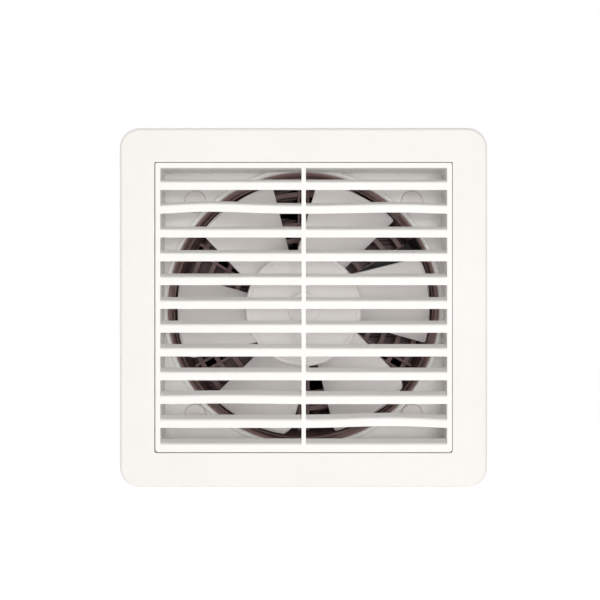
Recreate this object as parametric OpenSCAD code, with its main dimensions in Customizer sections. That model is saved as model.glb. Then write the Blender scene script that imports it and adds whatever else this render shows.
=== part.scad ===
// Window exhaust fan, 200 mm impeller. Front faces -Y, +X is to the right, +Z is up.
// The origin is the centre of the face that lies against the window pane or wall.

/* [Front frame] */
// Width of the front frame
frame_w = 268; // [262:1:280]
// Height of the front frame
frame_h = 262; // [257:1:275]
// How far the front frame stands out from the pane
frame_d = 22; // [20:1:26]
// Corner radius of the front frame
frame_r = 16; // [12:1:20]
// Radius of the soft outer edge of the front frame
edge_r = 4; // [3.5:0.5:8]
// Wall thickness of the white mouldings
wall = 2.5; // [2:0.1:3]

/* [Louvre grille] */
// Width of the opening that the grille fills
open_w = 216.4; // [214:0.2:217]
// Height of the opening that the grille fills
open_h = 211.1; // [209:0.1:212]
// Gap all round the grille
grille_gap = 0.6; // [0.4:0.05:0.7]
// Number of louvre bars
bars = 11; // [9:1:11]
// Distance from one louvre bar to the next
bar_pitch = 17.3; // [17:0.1:17.5]
// Height of the highest bar's middle above the centre of the fan
bar_top = 88.25; // [88:0.25:89.5]
// Height of a bar's front face
bar_h = 6.05; // [5:0.05:6.1]
// Depth of a bar, front to back
bar_d = 8; // [6:0.5:9]
// How much higher a bar's back edge is than its front edge
bar_rise = 2.45; // [1.5:0.05:3]
// Width of the side rails
rail_w = 3.5; // [3:0.1:4]

/* [Impeller] */
// Number of blades
blades = 6; // [4:1:6]
// Radius of the blade tips at the leading edge
tip_r = 100.3; // [96:0.1:100.6]
// Outer radius of the hub
hub_r = 45; // [42:0.5:46]
// Depth of a blade from leading to trailing edge, along the shaft
blade_depth = 22; // [16:1:22]
// Thickness of a blade
blade_t = 2.2; // [1.8:0.1:2.6]

/* [Duct and guard] */
// Depth of the recess plate behind the pane line
plate_y = 30; // [28:1:32]
// Inner radius of the duct mouth
mouth_r = 105.3; // [104.8:0.1:105.4]
// Inner radius of the duct around the blade tips
duct_r = 103.4; // [103:0.1:103.6]
// Radius of the smallest guard ring
ring_first = 58.2; // [57:0.1:59]
// Distance from one guard ring to the next
ring_pitch = 12.8; // [12:0.1:13]

/* [Motor] */
// Outer radius of the motor shells
motor_r = 47.5; // [46:0.5:48]
// Radius of the shaft
shaft_r = 4; // [3:0.5:4]

/* [Shutter] */
// Number of shutter flaps
flaps = 5; // [5:1:5]
// Distance from one flap's pivot to the next
flap_pitch = 40.15; // [40.1:0.05:40.2]

/* [Fixing] */
// Distance between the wall screw holes, across
fix_w = 241; // [240:1:242]
// Distance between the wall screw holes, up and down
fix_h = 236; // [235:1:237]
// Radius of the wall screw holes
fix_r = 2.5; // [2:0.1:2.8]

/* [Hidden] */
$fn = 96;
eps = 0.02;
white = "#fbfaf6";
warm_white = "#f4f2ee";
light_grey = "#c9c6c2";
dark_brown = "#4b403e";
black = "#1d1c1b";
steel = "#b9bcc0";
brass = "#c9a457";
copper = "#b06a3b";
foam = "#5b5c5e";
cream = "#e6dfcc";

// Front frame and wall housing
gasket_t = 2.5;
flange_t = 3.5;
flange_y = -gasket_t - flange_t;
skirt_back = -11.2;
box_front = -10.8;
box_w = open_w + 2 * wall;
box_h = open_h + 2 * wall;
flange_w = frame_w - 2 * wall - 2;
flange_h = frame_h - 2 * wall - 2;
plate_back = plate_y + wall;
lip_w = 2.6;
lip_h = 1.4;
boss_x = 84.5;
boss_z = 83.1;
cap_r = 8.2;
m4 = 2;
m4_clear = 2.2;

// Grille
frame_open_w = open_w + 0.5;
frame_open_h = open_h + 0.5;
grille_w = frame_open_w - 2 * grille_gap;
grille_h = frame_open_h - 2 * grille_gap;
grille_back = -frame_d + 9;
top_rail = 3.6;
bottom_rail = 6.1;
mullion_w = 3.1;
tongue_w = 12;

// Duct, guard and shutter, by depth behind the pane
duct_outer_r = 107.2;
entry_r = 104.4;
entry_round = 2.4;
step_y = 52;
duct_back = 96;
rim_back = 99;
shutter_plate_back = 102;
shutter_back = 125;
shutter_side = 2.7;
channel_angle = 29.75;
channel_span = 6.1;
channel_r = 108.2;
channel_front = 82.5;
lead_r = 1.5;
lead_hole_r = 1.7;
lead_depth = 85.8;
lead_exit = 70;
lead_out = 9.5;
arms = 6;
arm_turn = 30;
arm_w = 10;
arm_rib = 2;
arm_front = 88;
ring_front = 90;
rings = 4;
ring_w = 4;
ring_d = 4;
guard_disc_r = 50;
guard_hole_r = 11;
ear_r = 7;

// Terminal box in the corner outside the duct
box_front_y = 46;
box_back_y = 78;
box_post_x = 101;
box_post_z = [77, 98];
box_wall = 1.8;
box_x = [84.5, 95.5, 107.2];
box_z = [52, 69, 104];
lid_post_x = 88;
lid_post_z = [73, 101];
gland_at = [98, 0, 88];
block_x = 97.6;
block_z = 54.6;
block_pitch = 5.6;

// Impeller, rotor and motor, by depth behind the pane
hub_front = 34;
hub_back = 61.5;
lead_y = 36.5;
trail_deg = 45;
lead_offset = 16.1;
lead_turn = 29.3;
tip_flare = 2;
tip_corner = 4.5;
root_r = hub_r - 1.5;
motor_front = 63;
motor_mid = 79;
motor_back = 95;
core_front = 71;
core_back = 88;
core_r = 45.4;
rotor_r = 24.6;
bearing_r = 8;
bolt_ring = 50.7;
mount_ring = 36;
stator_slots = 12;
winding_in = 28;
winding_out = 39;
insert_r = 6.5;
hub_cap_r = 12.5;
pin_depth = 15.6;
pin_len = 12;
run_gap = 0.04;

// Shutter flaps
flap_axis_y = 115;
flap_top = 97.9;
flap_len = 39.7;
flap_t = 1.4;
flap_half = open_w / 2 - shutter_side - 0.8;
pin_r = 1.5;
bead_r = 2.2;
crank_r = 8.5;
crank_deg = 15;
crank_pin_r = 1.2;
crank_boss_r = 2.4;
bar_x = 97;
bar_t = 1.6;
// Where the tie bar's pin stands on a flap's crank, from the flap's own axis.
crank_pin = [0, -crank_r * cos(crank_deg), crank_r * sin(crank_deg)];

// Children are drawn in the plane seen from the front, with their height running back into the fan.
module at_depth(y) {
    rotate([90, 0, 0]) mirror([0, 0, 1]) translate([0, 0, y]) children();
}

module slab(y0, y1) {
    at_depth(y0) linear_extrude(height = y1 - y0) children();
}

module disc(y0, y1, r) {
    at_depth(y0) cylinder(h = y1 - y0, r = r);
}

module tube(y0, y1, r_out, r_in) {
    difference() {
        disc(y0, y1, r_out);
        disc(y0 - 1, y1 + 1, r_in);
    }
}

module round_plate(w, h, r) {
    square([w - 2 * r, h], center = true);
    square([w, h - 2 * r], center = true);
    for (x = [-1, 1], y = [-1, 1]) translate([x * (w / 2 - r), y * (h / 2 - r)]) circle(r = r);
}

module at_corners(w, h) {
    for (x = [-1, 1], y = [-1, 1]) translate([x * w / 2, y * h / 2]) children();
}

module four_round(r) {
    for (i = [0:3]) rotate([0, 90 * i, 0]) translate([r, 0, 0]) children();
}

// A section in (distance from the corner's centre, depth) carried round a rectangle with round corners.
module edge_ring(w, h, r) {
    for (i = [0:3]) {
        across = i % 2 == 0 ? w : h;
        along = i % 2 == 0 ? h : w;
        rotate([0, 0, 90 * i]) {
            translate([across / 2 - r, 0, 0]) rotate([90, 0, 0])
                linear_extrude(height = along - 2 * r, center = true) children();
            translate([across / 2 - r, along / 2 - r, 0]) rotate_extrude(angle = 90) children();
        }
    }
}

// A screw with a round head, its head's top at y0 and its tip at y1.
module screw(y0, y1, r, head_r, head_t) {
    difference() {
        union() {
            disc(y0, y0 + head_t, head_r);
            disc(y0 + head_t - eps, y1, r);
        }
        slab(y0 - 1, y0 + head_t * 0.5) {
            square([head_r * 1.2, 0.8], center = true);
            square([0.8, head_r * 1.2], center = true);
        }
    }
}

module frame_edge_section() {
    translate([frame_r - wall, -frame_d + edge_r]) square([wall, frame_d - edge_r - 1.5]);
    intersection() {
        translate([frame_r - edge_r, -frame_d + edge_r]) difference() {
            circle(r = edge_r);
            circle(r = edge_r - wall);
        }
        translate([frame_r - edge_r, -frame_d]) square(edge_r);
    }
    translate([frame_r - edge_r - 1, -frame_d]) square([1, wall]);
}

module front_frame() {
    ledge = 14;
    color(white) {
        at_depth(0) edge_ring(frame_w, frame_h, frame_r) frame_edge_section();
        slab(-frame_d, -frame_d + wall) difference() {
            round_plate(frame_w - 2 * edge_r, frame_h - 2 * edge_r, frame_r - edge_r);
            round_plate(frame_open_w, frame_open_h, 3.4);
        }
        slab(-frame_d, skirt_back) difference() {
            round_plate(open_w + 5, open_h + 5, 6);
            round_plate(frame_open_w, frame_open_h, 3.4);
        }
        for (x = [-1, 1], z = [-1, 1]) slab(grille_back + 0.1, skirt_back)
            translate([x * (open_w / 2 - 0.5) - 1.25, z * 70 - ledge / 2]) square([2.5, ledge]);
    }
}

module frame_clips() {
    foot_in = 8;
    color(steel) for (side = [-1, 1]) {
        slab(flange_y - 1, flange_y) translate([side * (flange_w / 2 - foot_in / 2) - foot_in / 2, -6])
            square([foot_in, 12]);
        slab(flange_y - 8, flange_y - 1) translate([side * (flange_w / 2 - 0.5) - 0.5, -5])
            square([1, 10]);
        slab(flange_y - 1, flange_y) translate([-6, side * (flange_h / 2 - foot_in / 2) - foot_in / 2])
            square([12, foot_in]);
        slab(flange_y - 8, flange_y - 1) translate([-5, side * (flange_h / 2 - 0.5) - 0.5])
            square([10, 1]);
    }
}

// A louvre bar's section, seen from the side, slopes up towards the back.
module louvre_bar(z, half) {
    translate([-half, 0, z]) rotate([90, 0, 90]) linear_extrude(height = 2 * half)
        polygon([[-frame_d, -bar_h / 2], [-frame_d + bar_d, -bar_h / 2 + bar_rise],
            [-frame_d + bar_d, bar_h / 2 + bar_rise], [-frame_d, bar_h / 2]]);
}

module louvre_grille() {
    slots_top = grille_h / 2 - top_rail;
    slots_bottom = -grille_h / 2 + bottom_rail;
    color(white) {
        slab(-frame_d, grille_back) difference() {
            round_plate(grille_w, grille_h, 3.2);
            translate([-grille_w / 2 + rail_w, slots_bottom])
                square([grille_w - 2 * rail_w, slots_top - slots_bottom]);
        }
        for (i = [0:bars - 1]) louvre_bar(bar_top - i * bar_pitch, grille_w / 2 - rail_w + eps);
        louvre_bar(slots_bottom - bar_h / 2, grille_w / 2 - rail_w + eps);
        slab(-frame_d, -frame_d + bar_d) translate([-mullion_w / 2, slots_bottom - eps])
            square([mullion_w, slots_top - slots_bottom + 2 * eps]);
        for (x = [-1, 1], z = [-1, 1]) slab(grille_back - eps, grille_back + 8)
            translate([x * (grille_w / 2 - 1) - 0.8, z * 45 - tongue_w / 2]) square([1.6, tongue_w]);
    }
}

module wall_housing() {
    color(warm_white) difference() {
        union() {
            slab(flange_y, -gasket_t) round_plate(flange_w, flange_h, frame_r - wall - 1);
            slab(box_front, plate_back) round_plate(box_w, box_h, 6.5);
        }
        slab(box_front - 1, plate_y) round_plate(open_w, open_h, 4);
        disc(plate_y - 1, plate_back + 1, mouth_r);
        slab(flange_y - 1, 0) at_corners(fix_w, fix_h) circle(r = fix_r);
        slab(plate_y - 1, plate_back + 1) at_corners(2 * boss_x, 2 * boss_z) circle(r = m4_clear);
        slab(plate_y - 1, plate_y + 1.2) at_corners(2 * boss_x, 2 * boss_z) circle(r = 5.5);
    }
    color(warm_white) at_depth(0) rotate_extrude() {
        translate([mouth_r, plate_y - lip_h]) square([lip_w, lip_h + eps]);
        translate([mouth_r + lip_w / 2, plate_y - lip_h]) circle(r = lip_w / 2);
    }
}

module foam_gasket() {
    color(foam) slab(-gasket_t, 0) difference() {
        round_plate(flange_w - 3, flange_h - 3, frame_r - wall - 2.5);
        round_plate(box_w + 1.2, box_h + 1.2, 7);
        at_corners(fix_w, fix_h) circle(r = fix_r + 0.5);
    }
}

module screw_caps() {
    top = plate_y - 2.4;
    color(warm_white) for (x = [-1, 1], z = [-1, 1]) translate([x * boss_x, 0, z * boss_z]) {
        difference() {
            union() {
                at_depth(top) cylinder(h = 0.8, r1 = cap_r - 0.8, r2 = cap_r);
                disc(top + 0.8 - eps, plate_y, cap_r);
                disc(plate_y - eps, plate_y + 1.1, 5.4);
            }
            disc(top + 0.9, plate_y + 2, 4.6);
        }
    }
}

module tie_screws() {
    color(steel) for (x = [-1, 1], z = [-1, 1]) translate([x * boss_x, 0, z * boss_z])
        screw(plate_y - 1.2, 42, m4 - eps, 4.2, 2.4);
}

module tie_nuts() {
    color(steel) for (x = [-1, 1], z = [-1, 1]) translate([x * boss_x, 0, z * boss_z])
        difference() {
            at_depth(plate_back + 3) cylinder(h = 3.2, r = 4.05, $fn = 6);
            disc(plate_back + 2, 45, m4);
        }
}

module sector(y0, y1, r_out, r_in, middle, span) {
    at_depth(y0) rotate([0, 0, middle - span / 2]) rotate_extrude(angle = span)
        translate([r_in, 0]) square([r_out - r_in, y1 - y0]);
}

// Screw ears at the four corners, each with a rib in to the duct wall.
module corner_ears(y0, y1) {
    inner_r = duct_r + 1;
    rib_w = 2 * ear_r - 2;
    slab(y0, y1) at_corners(2 * boss_x, 2 * boss_z) circle(r = ear_r);
    for (x = [-1, 1], z = [-1, 1]) slab(y0, y1) rotate([0, 0, atan2(z * boss_z, x * boss_x)])
        translate([inner_r, -rib_w / 2]) square([norm([boss_x, boss_z]) - inner_r, rib_w]);
}

module duct_sleeve() {
    color(dark_brown) difference() {
        union() {
            slab(plate_back, plate_back + 3) round_plate(open_w, open_h, 6);
            disc(plate_back, duct_back, duct_outer_r);
            corner_ears(duct_back - 8, duct_back);
            for (z = box_post_z) translate([box_post_x, 0, z])
                disc(plate_back + 3 - eps, box_front_y, 3.6);
        }
        disc(plate_back - 1, step_y, entry_r);
        disc(step_y - 1, duct_back + 1, duct_r);
        // The entry opens out to the front in a quarter round.
        at_depth(plate_back) rotate_extrude() difference() {
            translate([entry_r - 1, -1]) square([entry_round + 1, entry_round + 1]);
            translate([entry_r + entry_round, entry_round]) circle(r = entry_round);
        }
        slab(plate_back - 1, duct_back + 1) at_corners(2 * boss_x, 2 * boss_z) circle(r = m4_clear);
        sector(36, 90, channel_r + 1, duct_r - 2, channel_angle, channel_span + 0.4);
        for (z = box_post_z) translate([box_post_x, 0, z]) disc(38, box_front_y + 1, 1.5);
    }
}

module motor_guard() {
    arm_in = guard_disc_r - 2;
    color(dark_brown) difference() {
        union() {
            for (i = [0:rings - 1]) tube(ring_front, ring_front + ring_d,
                ring_first + i * ring_pitch + ring_w / 2, ring_first + i * ring_pitch - ring_w / 2);
            for (i = [0:arms - 1]) rotate([0, -arm_turn - 360 / arms * i, 0]) {
                for (side = [-1, 1]) slab(arm_front, duct_back - 0.3)
                    translate([arm_in + 0.2, side * (arm_w - arm_rib - 0.4) / 2 - arm_rib / 2])
                    square([duct_r - 0.8 - arm_in - 0.2, arm_rib]);
                slab(motor_back, rim_back) translate([arm_in, -arm_w / 2])
                    square([duct_r - 0.6 - arm_in, arm_w]);
                slab(duct_back, rim_back) translate([duct_r - 2, -arm_w / 2 + 0.5])
                    square([4, arm_w - 1]);
            }
            disc(motor_back, rim_back, guard_disc_r);
            tube(duct_back, rim_back, duct_outer_r, duct_r);
            corner_ears(duct_back, rim_back);
        }
        slab(duct_back - 1, rim_back + 1) at_corners(2 * boss_x, 2 * boss_z) circle(r = m4_clear);
        four_round(mount_ring) disc(motor_back - 1, rim_back + 1, m4_clear);
        disc(motor_back - 1, rim_back + 1, guard_hole_r);
    }
}

// The path of the motor's lead: out along one arm, forward in the duct wall, out to the terminal box.
module lead_path(r) {
    wall_r = (duct_r + channel_r) / 2;
    rotate([0, -channel_angle, 0]) {
        translate([motor_r - 1, lead_depth, 0]) along_x(0, wall_r - motor_r + 1, r);
        translate([wall_r, lead_depth, 0]) sphere(r = r);
        translate([wall_r, 0, 0]) disc(lead_exit, lead_depth, r);
        translate([wall_r, lead_exit, 0]) sphere(r = r);
        translate([wall_r, lead_exit, 0]) along_x(0, lead_out, r);
    }
}

// The black cover over the motor's lead.
module cable_channel() {
    back = arm_front - 0.2;
    arm_end = duct_r - motor_r - 8;
    cover_w = 13;
    cover_low = -8.8;
    cover_t = 1.4;
    color(black) difference() {
        union() {
            sector(36.2, 89.8, channel_r, duct_r + 0.2, channel_angle, channel_span);
            slab(channel_front, back) rotate([0, 0, channel_angle]) {
                translate([motor_r + 6, cover_low]) square([arm_end, cover_w]);
                translate([duct_r - 3, -5]) square([5, 10]);
            }
        }
        slab(channel_front + cover_t, back + 1) rotate([0, 0, channel_angle])
            translate([motor_r + 5, cover_low + cover_t]) square([arm_end, cover_w - 2 * cover_t]);
        lead_path(lead_hole_r);
    }
}

module motor_lead() {
    color("#6b6b6e") lead_path(lead_r);
}

// The box is an L seen from the front, so that it clears the round duct.
module box_outline(inset) {
    polygon([[box_x[0] + inset, box_z[1] + inset], [box_x[1] + inset, box_z[1] + inset],
        [box_x[1] + inset, box_z[0] + inset], [box_x[2] - inset, box_z[0] + inset],
        [box_x[2] - inset, box_z[2] - inset], [box_x[0] + inset, box_z[2] - inset]]);
}

module terminal_box() {
    color(black) difference() {
        slab(box_front_y, box_back_y) box_outline(0);
        slab(box_front_y + box_wall, box_back_y + 1) box_outline(box_wall);
        lead_path(lead_hole_r);
        for (z = box_post_z) translate([box_post_x, 0, z]) disc(box_front_y - 1, box_front_y + 3, 1.7);
    }
    color(black) for (z = lid_post_z) translate([lid_post_x, 0, z])
        tube(box_front_y + 1, box_back_y, 2.4, 1.2);
}

module terminal_box_lid() {
    color(black) difference() {
        slab(box_back_y, box_back_y + 2) box_outline(0);
        for (z = lid_post_z) translate([lid_post_x, 0, z]) disc(box_back_y - 1, box_back_y + 3, 1.6);
        translate(gland_at) disc(box_back_y - 1, box_back_y + 3, 4.2);
    }
}

module terminal_block() {
    block_w = 7.6;
    block_back = box_front_y + 12;
    color(cream) difference() {
        slab(box_front_y + box_wall, block_back) translate([block_x, block_z])
            square([block_w, 3 * block_pitch + 0.2]);
        for (i = [0:2]) translate([block_x + block_w / 2, 0, block_z + block_pitch * (i + 0.5) + 0.1])
            disc(block_back - 8, block_back + 1, 1.6);
    }
}

module capacitor() {
    color("#d8d5cf") slab(box_front_y + box_wall, box_front_y + 16)
        translate([box_x[0] + 3.1, box_z[1] + 10.5]) square([9, 17.5]);
}

module cable_gland() {
    translate(gland_at) color(black) difference() {
        union() {
            disc(box_back_y, box_back_y + 2, 4.1);
            at_depth(box_back_y + 2) cylinder(h = 3, r = 6.2, $fn = 6);
            disc(box_back_y + 5 - eps, box_back_y + 9, 5);
            disc(box_back_y - 2, box_back_y, 5.4);
        }
        disc(box_back_y - 3, box_back_y + 10, 2.6);
    }
}

module box_screws() {
    color(steel) for (z = box_post_z) translate([box_post_x, 0, z]) mirror([0, 1, 0])
        screw(-box_front_y - 3.4, -box_front_y + 7, 1.45, 2.8, 1.6);
}

module lid_screws() {
    color(steel) for (z = lid_post_z) translate([lid_post_x, 0, z]) mirror([0, 1, 0])
        screw(-box_back_y - 3.6, -box_back_y + 10, 1.15, 2.6, 1.6);
}

module motor_ears(y0, y1) {
    four_round(bolt_ring) disc(y0, y1, 4);
}

module motor_bolt_holes() {
    four_round(bolt_ring) disc(motor_front - 1, motor_back + 1, 1.7);
}

module motor_front_shell() {
    color(black) difference() {
        union() {
            disc(motor_front, motor_mid, motor_r);
            disc(motor_front - 6, motor_front + eps, 11);
            motor_ears(motor_front + 3, motor_mid);
        }
        disc(motor_front + 2.2, motor_mid + 1, motor_r - 2);
        disc(motor_front - 4.5, motor_front + 3, bearing_r);
        disc(motor_front - 7, motor_front, shaft_r + 0.8);
        motor_bolt_holes();
    }
}

module motor_rear_shell() {
    color(black) difference() {
        union() {
            disc(motor_mid, motor_back, motor_r);
            disc(motor_back - eps, motor_back + 3.5, 10.6);
            motor_ears(motor_mid, arm_front - 1);
        }
        disc(motor_mid - 1, motor_back - 2.2, motor_r - 2);
        disc(motor_back - 3, motor_back + 2, bearing_r);
        motor_bolt_holes();
        four_round(mount_ring) disc(motor_back - 3, motor_back + 1, m4);
        rotate([0, -channel_angle, 0]) translate([motor_r - 8, lead_depth, 0])
            along_x(0, 10, lead_hole_r);
    }
}

module stator_core() {
    color(steel) difference() {
        disc(core_front, core_back, core_r);
        disc(core_front - 1, core_back + 1, rotor_r + 0.5);
        for (i = [0:stator_slots - 1]) slab(core_front - 1, core_back + 1)
            rotate([0, 0, 360 / stator_slots * i])
            translate([winding_in, -2.2]) square([winding_out - winding_in, 4.4]);
    }
}

module stator_winding() {
    color(copper) {
        tube(core_front - 5, core_front, winding_out, winding_in);
        tube(core_back, core_back + 4, winding_out, winding_in);
        for (i = [0:stator_slots - 1]) slab(core_front - eps, core_back + eps)
            rotate([0, 0, 360 / stator_slots * i])
            translate([winding_in + 1, -1.9]) square([winding_out - winding_in - 1.6, 3.8]);
    }
}

module bearing(y0, y1) {
    color(steel) tube(y0, y1, bearing_r - eps, shaft_r + run_gap);
}

module front_bearing() {
    bearing(motor_front - 4.5, motor_front + 2.5);
}

module rear_bearing() {
    bearing(motor_back - 4, motor_back + 2);
}

module motor_bolts() {
    color(steel) four_round(bolt_ring) screw(motor_front + 1, arm_front - 1.4, 1.65, 3, 2);
}

module mount_screws() {
    color(steel) four_round(mount_ring) mirror([0, 1, 0])
        screw(-rim_back - 2.4, -motor_back + 2.6, m4 - eps, 4, 2.4);
}

// A blade is a sheet of points: v runs from the leading edge (0) to the trailing edge (1).
function lead_deg(r) = lead_turn + asin(lead_offset / r);
function corner_pull(r, r_tip) = let (over = r - (r_tip - tip_corner))
    over <= 0 ? 0 : tip_corner - sqrt(tip_corner * tip_corner - over * over);
function tip_at(v) = tip_r + tip_flare * v;
function blade_radius(s, v) = root_r + (tip_at(v) - root_r) * s;
function blade_point(s, v, back) = let (
        r = blade_radius(s, v),
        pull = corner_pull(min(r, tip_at(v)), tip_at(v)) / r * 180 / PI,
        deg = pull + (lead_deg(r) - 2 * pull) * (1 - v))
    [r * cos(trail_deg + deg), r * sin(trail_deg + deg),
        lead_y + blade_depth * (0.7 * v + 0.3 * v * v) + (back ? blade_t : 0)];

module blade() {
    across = [0, 0.25, 0.5, 0.75, 0.92, 0.96, 0.985, 0.996, 1];
    chord = [0, 0.125, 0.25, 0.375, 0.5, 0.625, 0.75, 0.875, 1];
    n = len(across);
    m = len(chord);
    points = [for (back = [false, true], s = across, v = chord) blade_point(s, v, back)];
    front = [for (i = [0:n - 2], j = [0:m - 2]) let (a = i * m + j) each
        [[a, a + 1, a + m], [a + 1, a + m + 1, a + m]]];
    k = n * m;
    back = [for (f = front) [f[0] + k, f[2] + k, f[1] + k]];
    root = [for (j = [0:m - 2]) each [[j, j + k, j + 1], [j + 1, j + k, j + 1 + k]]];
    tip = [for (j = [0:m - 2]) let (a = (n - 1) * m + j) each
        [[a, a + 1, a + k], [a + 1, a + 1 + k, a + k]]];
    lead = [for (i = [0:n - 2]) let (a = i * m) each [[a, a + m, a + k], [a + m, a + m + k, a + k]]];
    trail = [for (i = [0:n - 2]) let (a = i * m + m - 1) each
        [[a, a + k, a + m], [a + m, a + k, a + m + k]]];
    polyhedron(points = points, faces = concat(front, back, root, tip, lead, trail));
}

module impeller() {
    rim = 2.6;
    color(light_grey) {
        at_depth(0) difference() {
            rotate_extrude() difference() {
                polygon([[0, hub_front], [hub_r - rim, hub_front], [hub_r, hub_front + 1.6],
                    [hub_r, hub_back], [0, hub_back]]);
                translate([9.5, hub_front + 2.6]) square([hub_r - 3 - 9.5, hub_back]);
                translate([-1, hub_front + 18]) square([11, hub_back]);
            }
            translate([0, 0, hub_front - 1]) cylinder(h = hub_back - hub_front, r = insert_r);
        }
        at_depth(0) for (i = [0:blades - 1]) rotate([0, 0, 360 / blades * i]) blade();
        for (i = [0:5]) slab(hub_front + 2.5, hub_front + 12) rotate([0, 0, 60 * i])
            translate([9, -0.9]) square([hub_r - 11, 1.8]);
    }
}

module hub_insert() {
    color(brass) difference() {
        disc(hub_front, hub_front + 18, insert_r - eps);
        disc(hub_front - 1, hub_front + 19, shaft_r + eps);
        slab(hub_front + pin_depth - 1.6, hub_front + 19) square([20, 3.2], center = true);
    }
}

module drive_pin() {
    color(steel) translate([0, hub_front + pin_depth, 0]) along_x(-pin_len / 2, pin_len / 2, 1.5);
}

module hub_cap() {
    color(light_grey) difference() {
        union() {
            at_depth(hub_front - 3) cylinder(h = 0.8, r1 = hub_cap_r - 0.8, r2 = hub_cap_r);
            disc(hub_front - 2.2 - eps, hub_front, hub_cap_r);
        }
        disc(hub_front - 1.8, hub_front + 1, shaft_r + eps);
    }
}

module rotor_shaft() {
    color(steel) difference() {
        disc(hub_front - 1.6, motor_back + 1.5, shaft_r);
        translate([0, hub_front + pin_depth, 0]) along_x(-pin_len / 2, pin_len / 2, 1.5 + eps);
    }
}

module rotor() {
    color("#8d8f92") tube(core_front, core_back, rotor_r, shaft_r + eps);
}

module shutter_frame() {
    side = shutter_side;
    color(dark_brown) {
        difference() {
            slab(rim_back, shutter_back) round_plate(open_w, open_h, 4);
            slab(shutter_plate_back, shutter_back + 1)
                square([open_w - 2 * side, open_h - 2 * side], center = true);
            disc(rim_back - 1, shutter_plate_back + 1, duct_r);
            slab(rim_back - 1, shutter_plate_back + 1) at_corners(2 * boss_x, 2 * boss_z)
                circle(r = m4_clear);
            for (i = [0:flaps - 1]) translate([0, flap_axis_y, flap_top - i * flap_pitch])
                along_x(-open_w, open_w, pin_r + run_gap);
        }
        // The lintel hangs in front of the highest flap's bead and hides the gap over it, up to its crank.
        slab(flap_axis_y - bead_r - 2.2, flap_axis_y - bead_r - 0.6)
            translate([-open_w / 2 + side - eps, flap_top + 0.4])
            square([open_w / 2 - side + bar_x - 4, open_h / 2 - side - flap_top - 0.4 + eps]);
    }
}

module rear_screws() {
    color(steel) for (x = [-1, 1], z = [-1, 1]) translate([x * boss_x, 0, z * boss_z])
        mirror([0, 1, 0]) screw(-shutter_plate_back - 2.4, -duct_back + 7, m4 - eps, 4, 2.4);
}

module along_x(x0, x1, r) {
    translate([x0, 0, 0]) rotate([0, 90, 0]) cylinder(h = x1 - x0, r = r);
}

// A flap hangs from its bead. Its lower lip steps back over the next flap's bead.
module flap(i) {
    step_z = 34.5;
    lip_y = 3.2;
    crank_t = 2;
    crank_x = bar_x - crank_t - 0.5;
    color(dark_brown) translate([0, flap_axis_y, flap_top - i * flap_pitch]) {
        along_x(-flap_half, flap_half, bead_r);
        along_x(-open_w / 2 + 0.3, open_w / 2 - 0.3, pin_r);
        translate([-flap_half, 0, 0]) rotate([90, 0, 90]) linear_extrude(height = 2 * flap_half)
            polygon([[-flap_t / 2, 0], [-flap_t / 2, -step_z], [-flap_t / 2 + lip_y, -step_z - 2],
                [-flap_t / 2 + lip_y, -flap_len], [flap_t / 2 + lip_y, -flap_len],
                [flap_t / 2 + lip_y, -step_z - 1.2], [flap_t / 2, -step_z + 0.8], [flap_t / 2, 0]]);
        translate([crank_x, 0, 0]) rotate([90, 0, 90]) linear_extrude(height = crank_t)
            rotate(180 - crank_deg) translate([0, -1.8]) square([crank_r, 3.6]);
        translate(crank_pin) {
            along_x(crank_x, crank_x + crank_t, crank_boss_r);
            along_x(crank_x + crank_t - eps, bar_x + bar_t + 0.5, crank_pin_r);
        }
    }
}

module tie_bar() {
    reach = (flaps - 1) * flap_pitch;
    color(black) translate([0, flap_axis_y, flap_top] + crank_pin) difference() {
        union() {
            translate([bar_x, -1.6, -reach]) cube([bar_t, 3.2, reach]);
            for (i = [0:flaps - 1]) translate([0, 0, -i * flap_pitch])
                along_x(bar_x, bar_x + bar_t, crank_boss_r);
        }
        for (i = [0:flaps - 1]) translate([0, 0, -i * flap_pitch])
            along_x(bar_x - 1, bar_x + bar_t + 1, crank_pin_r + run_gap);
    }
}

front_frame();
frame_clips();
louvre_grille();
wall_housing();
foam_gasket();
screw_caps();
tie_screws();
tie_nuts();
duct_sleeve();
motor_guard();
cable_channel();
motor_lead();
terminal_box();
terminal_box_lid();
terminal_block();
capacitor();
cable_gland();
box_screws();
lid_screws();
motor_front_shell();
motor_rear_shell();
stator_core();
stator_winding();
front_bearing();
rear_bearing();
motor_bolts();
mount_screws();
impeller();
hub_insert();
drive_pin();
hub_cap();
rotor_shaft();
rotor();
shutter_frame();
rear_screws();
flap(0);  // flap_1
flap(1);  // flap_2
flap(2);  // flap_3
flap(3);  // flap_4
flap(4);  // flap_5
tie_bar();
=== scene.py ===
import math

import bpy
from mathutils import Matrix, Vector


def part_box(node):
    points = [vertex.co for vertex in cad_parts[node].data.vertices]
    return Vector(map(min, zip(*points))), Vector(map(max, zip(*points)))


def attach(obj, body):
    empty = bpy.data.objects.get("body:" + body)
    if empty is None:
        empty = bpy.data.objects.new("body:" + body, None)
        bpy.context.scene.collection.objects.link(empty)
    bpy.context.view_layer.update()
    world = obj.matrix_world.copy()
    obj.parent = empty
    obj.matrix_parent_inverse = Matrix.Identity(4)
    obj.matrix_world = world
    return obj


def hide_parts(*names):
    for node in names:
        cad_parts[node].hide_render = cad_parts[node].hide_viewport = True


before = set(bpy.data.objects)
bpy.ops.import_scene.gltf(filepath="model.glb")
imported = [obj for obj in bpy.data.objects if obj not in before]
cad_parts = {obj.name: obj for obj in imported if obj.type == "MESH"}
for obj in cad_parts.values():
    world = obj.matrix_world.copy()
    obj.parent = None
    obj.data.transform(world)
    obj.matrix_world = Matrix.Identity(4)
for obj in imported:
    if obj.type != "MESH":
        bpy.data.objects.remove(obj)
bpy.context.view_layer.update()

mm = 0.001


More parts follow.
